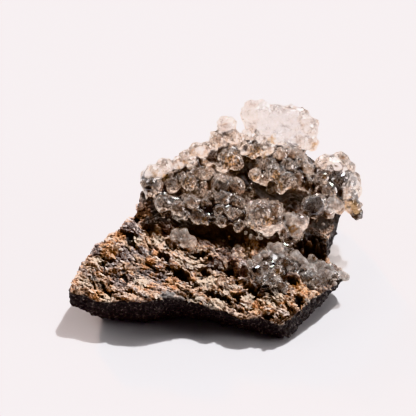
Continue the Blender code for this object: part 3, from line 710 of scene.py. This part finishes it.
def ballTree(name, where, density, subdivisions, grown):
    # balls scattered where an attribute says; grown ones stay with the surface that they sit on
    tree, given, keys = makeTree(name, {
        "Spacing": "Float", "Least radius": "Float", "Greatest radius": "Float", "Lift": "Float",
        "Seed": "Int", "Material": "Material",
    })
    give = given.outputs
    spread = scatter(tree, give, where, density)
    radius = randomBetween(tree, give, give["Least radius"], give["Greatest radius"])
    lift = addNode(tree, "ShaderNodeMath", {"operation": "MULTIPLY"}, {0: radius, 1: give["Lift"]})
    shift = addNode(tree, "ShaderNodeVectorMath", {"operation": "SCALE"}, {
        0: spread.outputs["Normal"], "Scale": lift.outputs[0]})
    shifted = addNode(tree, "GeometryNodeSetPosition", inputs={
        "Geometry": spread.outputs["Points"], "Offset": shift.outputs[0]})
    ball = addNode(tree, "GeometryNodeMeshIcoSphere", inputs={"Radius": 1.0, "Subdivisions": subdivisions})
    copies = addNode(tree, "GeometryNodeInstanceOnPoints", inputs={
        "Points": shifted.outputs[0], "Instance": ball.outputs["Mesh"], "Scale": radius})
    made = addNode(tree, "GeometryNodeRealizeInstances", inputs={"Geometry": copies.outputs[0]})
    if grown:
        balls = made
        made = addNode(tree, "GeometryNodeJoinGeometry")
        tree.links.new(give["Geometry"], made.inputs[0])
        tree.links.new(balls.outputs[0], made.inputs[0])
    finishTree(tree, give, made)
    return tree, keys


def growBalls(obj, tree, keys, sizes, start, mat=None):
    spacing, least, greatest, sink = sizes
    values = {
        "Spacing": spacing * mm, "Least radius": least * mm, "Greatest radius": greatest * mm,
        "Lift": -sink, "Seed": start}
    if mat:
        values["Material"] = mat
    runTree(obj, tree, keys, values)


def addBalls(obj, balls):
    bm = bmesh.new()
    bm.from_mesh(obj.data)
    for x, y, z, radius in balls:
        made = bmesh.ops.create_icosphere(bm, subdivisions=4, radius=radius * mm)
        for vert in made["verts"]:
            vert.co += Vector((x, y, z)) * mm
    bm.to_mesh(obj.data)
    bm.free()


def beadCover(mesh, rockTree):
    # beads gather in patches and are few on the clear opal and on the face next to the rock
    few, many, some = opal["beadShare"]
    cover = np.zeros(len(mesh.vertices))
    for i, (p, n) in enumerate(zip(places(mesh), normals(mesh))):
        point = Vector(p)
        spot, _, _, away = rockTree.find_nearest(point)
        hidden = away < opal["hidden"][1] * mm and (spot - point).dot(Vector(n)) > 0.3 * away
        smooth = groundShare(clearGround + frostedGround, point / mm, 0) > 0.5
        patch = noise.noise(point / (opal["patches"] * mm))
        if not hidden:
            cover[i] = few if smooth else many if patch > 0 else some
    return cover


def makeOpal(node, name, rockTree, balls, triangles):
    obj = mergedCopy(node, name)
    remesh(obj, opal["coreVoxel"] * mm)
    relax(obj, 0.5, 6)
    mesh = obj.data
    co, nor = places(mesh), normals(mesh)
    setPlaces(mesh, co - nor * opal["coreShrink"] * mm)
    co = places(mesh)
    cover = np.ones(len(co))
    for i, (p, n) in enumerate(zip(co, nor)):
        spot, _, _, away = rockTree.find_nearest(Vector(p))
        if away < opal["hidden"][0] * mm and (spot - Vector(p)).dot(Vector(n)) > 0.3 * away:
            cover[i] = 0
        for x, y, z, radius in balls:
            if math.dist(p, (x * mm, y * mm, z * mm)) < (radius + opal["room"]) * mm:
                cover[i] = 0
    setAttribute(mesh, "cover", cover)
    tree, keys = ballTree("opal bubbles", "cover", opal["density"], 3, True)
    growBalls(obj, tree, keys, opal["lumps"], seed)
    addBalls(obj, balls)
    remesh(obj, opal["coreVoxel"] * mm)
    setAttribute(obj.data, "cover", beadCover(obj.data, rockTree))
    growBalls(obj, tree, keys, opal["beads"], seed + 1)
    remesh(obj, opal["voxel"] * mm)
    keepLargest(obj)
    relax(obj, 0.5, 1)

    # the bubbles are uneven, and the underside grows into the rock
    mesh = obj.data
    co, nor = places(mesh), normals(mesh)
    for i, (p, n) in enumerate(zip(co, nor)):
        point = Vector(p)
        for length, height in opal["waves"]:
            co[i] += n * height * noise.noise(point / (length * mm)) * mm
        spot, face, _, away = rockTree.find_nearest(point, opal["root"] * mm)
        if spot is not None and (spot - point).dot(Vector(n)) > 0.2 * away:
            co[i] = spot - face * opal["bite"] * mm
    setPlaces(mesh, co)
    setAttribute(mesh, "crease", creases(mesh))
    simplify(obj, triangles)
    keepInBox(obj.data)
    sortGround(obj.data)
    return obj


def creases(mesh):
    # 1 in the creases and valleys between the lumps, which are painted dark as shade, 0 on the lumps
    co, nor = places(mesh), normals(mesh)
    most = np.zeros(len(co))
    for times, start, reach in opal["creases"]:
        around = np.stack([smoothed(mesh, co[:, k], times) for k in range(3)], 1)
        bend = ((around - co) * nor).sum(1) / mm
        most = np.maximum(most, smoothStep((bend - start) / reach))
    return most


def groundShare(ground, point, ragged):
    most = 0.0
    for x, y, z, radius in ground:
        away = math.dist(point, (x, y, z)) / radius
        most = max(most, min(max((1 + ragged - away) / 0.3, 0), 1))
    return most


def raggedShares(mesh, ground, edge):
    size, height, shift = edge
    shares = np.zeros(len(mesh.vertices))
    for i, p in enumerate(places(mesh)):
        point = Vector(p) / mm
        shares[i] = groundShare(ground, point, height * noise.noise(point / size) + shift)
    return shares


def sortGround(mesh):
    # hazy opal is material 0; clear, milky and frosted opal come after it
    setAttribute(mesh, "stain", raggedShares(mesh, stainedGround, opal["stainEdge"]))
    setAttribute(mesh, "dustAndPaintedLight", raggedShares(mesh, shadedHollows, opal["hollowShadeEdge"]))
    size, height = opal["groundEdge"]
    for face in mesh.polygons:
        point = face.center / mm
        ragged = height * noise.noise(point / size)
        for kind, ground in enumerate((clearGround, milkyGround, frostedGround), 1):
            if groundShare(ground, point, ragged) > 0.5:
                face.material_index = kind


def makeDruse(rockObject, mat):
    obj = newObject("hyalite_druse", rockObject.data.copy())
    tree, keys = ballTree("opal drops", "druse", druse["density"], 2, False)
    growBalls(obj, tree, keys, druse["drops"], seed, mat)
    length, height = druse["waves"]
    co = places(obj.data)
    for i, p in enumerate(co):
        co[i] += np.array(noise.noise_vector(Vector(p) / (length * mm))) * height * mm
    setPlaces(obj.data, co)
    keepInBox(obj.data)
    obj.data.shade_smooth()
    return obj


rockTree = meshTree(matrixRock.data)
crust = makeOpal("hyalite_crust", "hyalite_opal_crust", rockTree, largeBubbles, opal["triangles"])
print("crust made", len(crust.data.polygons), "faces")
cluster = makeOpal("hyalite_small_cluster", "hyalite_opal_cluster", rockTree, clusterBubbles,
                   opal["clusterTriangles"])
print("cluster made", len(cluster.data.polygons), "faces")


# ---- materials

def newMaterial(name):
    mat = bpy.data.materials.new(name)
    mat.use_nodes = True
    return mat, mat.node_tree, mat.node_tree.nodes["Principled BSDF"]


def setInputs(node, values):
    for name, value in values.items():
        node.inputs[name].default_value = value


def attribute(tree, name, share=1):
    value = addNode(tree, "ShaderNodeAttribute", {"attribute_name": name}).outputs["Fac"]
    return value if share == 1 else maths(tree, "MULTIPLY", value, share)


def noiseAt(tree, coords, size, detail=2.0, roughness=0.6):
    return addNode(tree, "ShaderNodeTexNoise", inputs={
        "Vector": coords, "Scale": 1 / (size * mm), "Detail": detail, "Roughness": roughness}).outputs["Fac"]


def ramp(tree, factor, stops):
    return setRamp(addNode(tree, "ShaderNodeValToRGB", inputs={"Fac": factor}), stops).outputs[0]


def mixed(tree, factor, first, second, blend="MIX"):
    node = addNode(tree, "ShaderNodeMix", {"data_type": "RGBA", "blend_type": blend}, {
        0: factor, 6: first, 7: second})
    return node.outputs[2]


def maths(tree, operation, first, second):
    return addNode(tree, "ShaderNodeMath", {"operation": operation}, {0: first, 1: second}).outputs[0]


def makeRhyolite():
    # flow-banded rhyolite: bleached, rusty or mauve-grey plates above, charcoal where freshly broken
    mat, tree, shader = newMaterial("weathered rhyolite")
    coords = addNode(tree, "ShaderNodeTexCoord").outputs["Object"]
    turned = addNode(tree, "ShaderNodeMapping", {"vector_type": "TEXTURE"}, {
        "Vector": coords, "Rotation": (0, 0, rock["flowDirection"]), "Scale": (2.6, 1, 1)}).outputs[0]
    streak = noiseAt(tree, turned, 0.9, 3.0, 0.65)
    own = attribute(tree, "tone", 0.55)
    shadeOf = maths(tree, "SUBTRACT", maths(tree, "ADD", own, maths(tree, "MULTIPLY", streak, 1.5)), 0.53)
    warm = ramp(tree, shadeOf, [
        (0.05, "523a2c"), (0.3, "96735b"), (0.5, "c39e82"), (0.7, "dfc3ab"), (0.95, "f6e9dc")])
    grey = ramp(tree, shadeOf, [
        (0.05, "3a3130"), (0.35, "7d6d68"), (0.55, "a08e88"), (0.75, "c0b0aa"), (0.95, "e2d9d4")])
    rusty = ramp(tree, shadeOf, [
        (0.05, "5e3418"), (0.35, "ac6c3a"), (0.6, "d79a66"), (0.9, "f3cfa6")])
    regions = ramp(tree, noiseAt(tree, turned, 2.6), [(0.47, 0.0), (0.6, 0.65)])
    greyShare = maths(tree, "MAXIMUM", attribute(tree, "mauve"), regions)
    rustSpots = ramp(tree, noiseAt(tree, coords, 1.7, 3.0), [(0.55, 0.0), (0.64, 0.9)])
    rustShare = maths(tree, "MAXIMUM", attribute(tree, "rust"), rustSpots)
    colour = mixed(tree, greyShare, warm, grey)
    colour = mixed(tree, maths(tree, "MULTIPLY", rustShare, 0.8), colour, rusty)
    colour = mixed(tree, attribute(tree, "pale", 0.6), colour, linear("ead8c2"))
    speckle = ramp(tree, noiseAt(tree, coords, 0.45, 2.0, 0.75), [(0.36, 0.12), (0.47, 0.9), (0.66, 1.3)])
    colour = mixed(tree, 1.0, colour, speckle, "MULTIPLY")
    fresh = ramp(tree, noiseAt(tree, coords, 0.7, 3.0, 0.8), [
        (0.4, "121010"), (0.52, "2e2a29"), (0.62, "5b5451"), (0.71, "b4a9a2")])
    # painted light with dusty ground: broken faces that look upward are mixed towards a lighter grey
    fresh = mixed(tree, attribute(tree, "dustAndPaintedLight", 0.65), fresh, linear("867f7b"))
    colour = mixed(tree, attribute(tree, "wall"), colour, fresh)
    # painted shade: rock under the crust and just past its edge is darkened nearly to black
    colour = mixed(tree, attribute(tree, "coveredAndShaded", 0.93), colour, linear("191210"))
    # painted shade: the pits, gaps and valleys are darkened nearly to black
    colour = mixed(tree, attribute(tree, "pitShade"), colour, linear("100b09"))
    tree.links.new(colour, shader.inputs["Base Color"])
    setInputs(shader, {"Roughness": 0.7})
    bump = addNode(tree, "ShaderNodeBump", inputs={
        "Strength": 0.8, "Distance": 0.15 * mm, "Height": noiseAt(tree, coords, 0.3, 3.0, 0.7)})
    tree.links.new(bump.outputs[0], shader.inputs["Normal"])
    return mat


def makeHyalite(name, tints, transmission, roughness, dustAndPaintedLight, glow, passing):
    # hyalite, the glass-clear opal; veils of tiny bubbles in it glow with the light from behind.
    # dustAndPaintedLight is the share of painted shade in its creases, and of its brown patches,
    # glow the least and greatest share of veils, and passing the tint of the light that goes through one
    # face
    mat, tree, shader = newMaterial(name)
    coords = addNode(tree, "ShaderNodeTexCoord").outputs["Object"]
    colour = ramp(tree, noiseAt(tree, coords, 1.1, 3.0), [(0.38, tints[0]), (0.58, tints[1])])
    # painted shade: the creases and the hollows are darkened nearly to black, and the veils are left out
    # there
    hollowShade = attribute(tree, "crease", dustAndPaintedLight)
    hollowShade = maths(tree, "MAXIMUM", hollowShade, attribute(tree, "dustAndPaintedLight"))
    brown = ramp(tree, noiseAt(tree, coords, 2.6, 2.0), [(0.5, 0.0), (0.62, dustAndPaintedLight)])
    colour = mixed(tree, maths(tree, "MULTIPLY", brown, 0.6), colour, linear("7c5c48"))
    colour = mixed(tree, hollowShade, colour, linear("1d1613"))
    colour = mixed(tree, attribute(tree, "stain", 0.75), colour, linear("c79a62"))
    tree.links.new(colour, shader.inputs["Base Color"])
    setInputs(shader, {
        "Roughness": roughness, "IOR": 1.45, "Transmission Weight": transmission,
        "Coat Weight": 1.0, "Coat Roughness": 0.03, "Coat IOR": 1.7})
    soft = addNode(tree, "ShaderNodeBump", inputs={
        "Strength": 0.28, "Distance": 0.12 * mm, "Height": noiseAt(tree, coords, 0.7, 1.0)})
    tree.links.new(soft.outputs[0], shader.inputs["Normal"])
    fine = addNode(tree, "ShaderNodeBump", inputs={
        "Strength": 0.6, "Distance": 0.1 * mm, "Height": noiseAt(tree, coords, 0.4, 2.0)})
    tree.links.new(fine.outputs[0], shader.inputs["Coat Normal"])
    veils = addNode(tree, "ShaderNodeBsdfTranslucent", inputs={"Color": colour})
    share = ramp(tree, noiseAt(tree, coords, 0.65, 3.0, 0.9), [(0.49, glow[0]), (0.6, glow[1])])
    share = maths(tree, "MULTIPLY", share, maths(tree, "SUBTRACT", 1.0, hollowShade))
    body = addNode(tree, "ShaderNodeMixShader", inputs={0: share, 1: shader.outputs[0], 2: veils.outputs[0]})
    # shadow rays pass through it, so that the lights reach what lies under it
    clearWay = addNode(tree, "ShaderNodeBsdfTransparent", inputs={"Color": linear(passing)})
    path = addNode(tree, "ShaderNodeLightPath")
    both = addNode(tree, "ShaderNodeMixShader", inputs={
        0: path.outputs["Is Shadow Ray"], 1: body.outputs[0], 2: clearWay.outputs[0]})
    tree.links.new(both.outputs[0], tree.nodes["Material Output"].inputs["Surface"])
    return mat


def finishPiece(obj, mats, node):
    kinds = np.zeros(len(obj.data.polygons), "i")
    obj.data.polygons.foreach_get("material_index", kinds)
    obj.data.materials.clear()            # this forgets which face has which
    for mat in mats:
        obj.data.materials.append(mat)
    obj.data.polygons.foreach_set("material_index", np.minimum(kinds, len(mats) - 1))
    obj.data.shade_smooth()
    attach(obj, "root")
    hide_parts(node)


rhyolite = makeRhyolite()
hazyHyalite = makeHyalite(
    "hazy hyalite opal", ("bda997", "fdf5ed"), 0.92, 0.02, 1.0, (0.04, 0.8), "e2deda")
clearHyalite = makeHyalite(
    "clear hyalite opal", ("ebe6e1", "fbf8f5"), 0.95, 0.02, 0.4, (0.0, 0.15), "b8b3af")
milkyHyalite = makeHyalite(
    "milky hyalite opal", ("ded2c9", "fdf8f3"), 0.74, 0.04, 0.7, (0.24, 0.95), "d8d4d1")
frostedHyalite = makeHyalite(
    "frosted hyalite opal", ("d9d3cf", "f3efed"), 0.9, 0.12, 0.25, (0.12, 0.4), "f7f6f5")
opals = [hazyHyalite, clearHyalite, milkyHyalite, frostedHyalite]
splinters = makeFlakes(matrixRock, rhyolite)
print("flakes made", len(splinters.data.polygons), "faces")
drops = makeDruse(matrixRock, milkyHyalite)
print("drops made", len(drops.data.polygons), "faces")
finishPiece(matrixRock, [rhyolite], "matrix")
finishPiece(crust, opals, "hyalite_crust")
finishPiece(cluster, opals, "hyalite_small_cluster")
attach(splinters, "root")
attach(drops, "root")
print("materials made")


# ---- floor, lights and camera

studio = {
    "floorColour": "d3d1d3",
    "floorHalf": 0.6,                    # half the floor's side, m
    "lights": [                          # name, azimuth, elevation, strength, width in degrees, colour
        ("key light", 31, 54, 4.1, 2.5, "fdfdff"),
        ("back light", -28, 19, 3.2, 4, "ffe6dc"),
    ],
    "worldColour": "fffafa",
    "backdrop": 1.0,                     # radiance of the pale backdrop behind the specimen
    "front": 0.06,                       # and of the dim room in front of it
    "softboxes": [                       # azimuth, elevation and half width in degrees, radiance
        (35, 54, 9, 7), (-28, 19, 8, 8), (-70, 40, 7, 6), (95, 17, 10, 11),
    ],
    "softEdge": 2,                       # degrees
    "cameraDistance": 0.4,               # m
}


def makeFloor():
    # a wide sheet of pale paper
    bm = bmesh.new()
    bmesh.ops.create_grid(bm, x_segments=1, y_segments=1, size=studio["floorHalf"])
    mesh = bpy.data.meshes.new("floor")
    bm.to_mesh(mesh)
    bm.free()
    floor = newObject("floor", mesh)
    mat, _, shader = newMaterial("pale paper floor")
    setInputs(shader, {"Base Color": linear(studio["floorColour"]), "Roughness": 0.9})
    mesh.materials.append(mat)


def towards(azimuth, elevation):
    # azimuth from +Y towards +X
    a, e = math.radians(azimuth), math.radians(elevation)
    return Vector((math.sin(a) * math.cos(e), math.cos(a) * math.cos(e), math.sin(e)))


def addSun(name, azimuth, elevation, strength, angle, colour):
    light = bpy.data.lights.new(name, "SUN")
    light.energy = strength
    light.angle = math.radians(angle)
    light.color = linear(colour)[:3]
    lamp = newObject(name, light)
    lamp.rotation_euler = towards(azimuth, elevation).to_track_quat("Z", "Y").to_euler()


def smoothRange(tree, value, start, end, most=1.0):
    return addNode(tree, "ShaderNodeMapRange", {"interpolation_type": "SMOOTHSTEP"}, {
        "Value": value, "From Min": start, "From Max": end, "To Max": most}).outputs[0]


def makeWorld():
    # a pale backdrop low behind the specimen, and a dim room in front and above
    world = bpy.data.worlds.new("studio")
    world.use_nodes = True
    tree = world.node_tree
    direction = addNode(tree, "ShaderNodeTexCoord").outputs["Generated"]
    split = addNode(tree, "ShaderNodeSeparateXYZ", inputs={"Vector": direction})
    behind = smoothRange(tree, split.outputs["Y"], -0.5, 0.5)
    low = smoothRange(tree, split.outputs["Z"], 0.9, 0.45)
    share = maths(tree, "MULTIPLY", behind, low)
    strength = addNode(tree, "ShaderNodeMapRange", inputs={
        "Value": share, "To Min": studio["front"], "To Max": studio["backdrop"]})
    total = strength.outputs[0]
    for azimuth, elevation, reach, radiance in studio["softboxes"]:
        facing = addNode(tree, "ShaderNodeVectorMath", {"operation": "DOT_PRODUCT"}, {
            0: direction, 1: towards(azimuth, elevation)})
        outer, inner = (math.cos(math.radians(angle)) for angle in (reach + studio["softEdge"], reach))
        box = smoothRange(tree, facing.outputs["Value"], outer, inner, radiance)
        total = maths(tree, "ADD", total, box)
    tree.links.new(total, tree.nodes["Background"].inputs["Strength"])
    tree.nodes["Background"].inputs["Color"].default_value = linear(studio["worldColour"])
    bpy.context.scene.world = world


def makeCamera():
    data = bpy.data.cameras.new("camera")
    data.type = "ORTHO"
    data.ortho_scale = imageSide * pixelSize
    camera = newObject("camera", data)
    e = cameraElevation
    toCamera = Vector((0, -math.cos(e), math.sin(e)))
    upInView = Vector((0, math.sin(e), math.cos(e)))
    centre = Vector(slabCorner) * mm + Vector((imageSide / 2 - cornerPixel[0], 0, 0)) * pixelSize
    centre += upInView * (cornerPixel[1] - imageSide / 2) * pixelSize
    camera.location = centre + toCamera * studio["cameraDistance"]
    camera.rotation_euler = (math.pi / 2 - e, 0, 0)
    data.clip_start, data.clip_end = 0.01, 3
    bpy.context.scene.camera = camera


makeFloor()
for light in studio["lights"]:
    addSun(*light)
makeWorld()
makeCamera()
bpy.context.scene.view_settings.view_transform = "Khronos PBR Neutral"
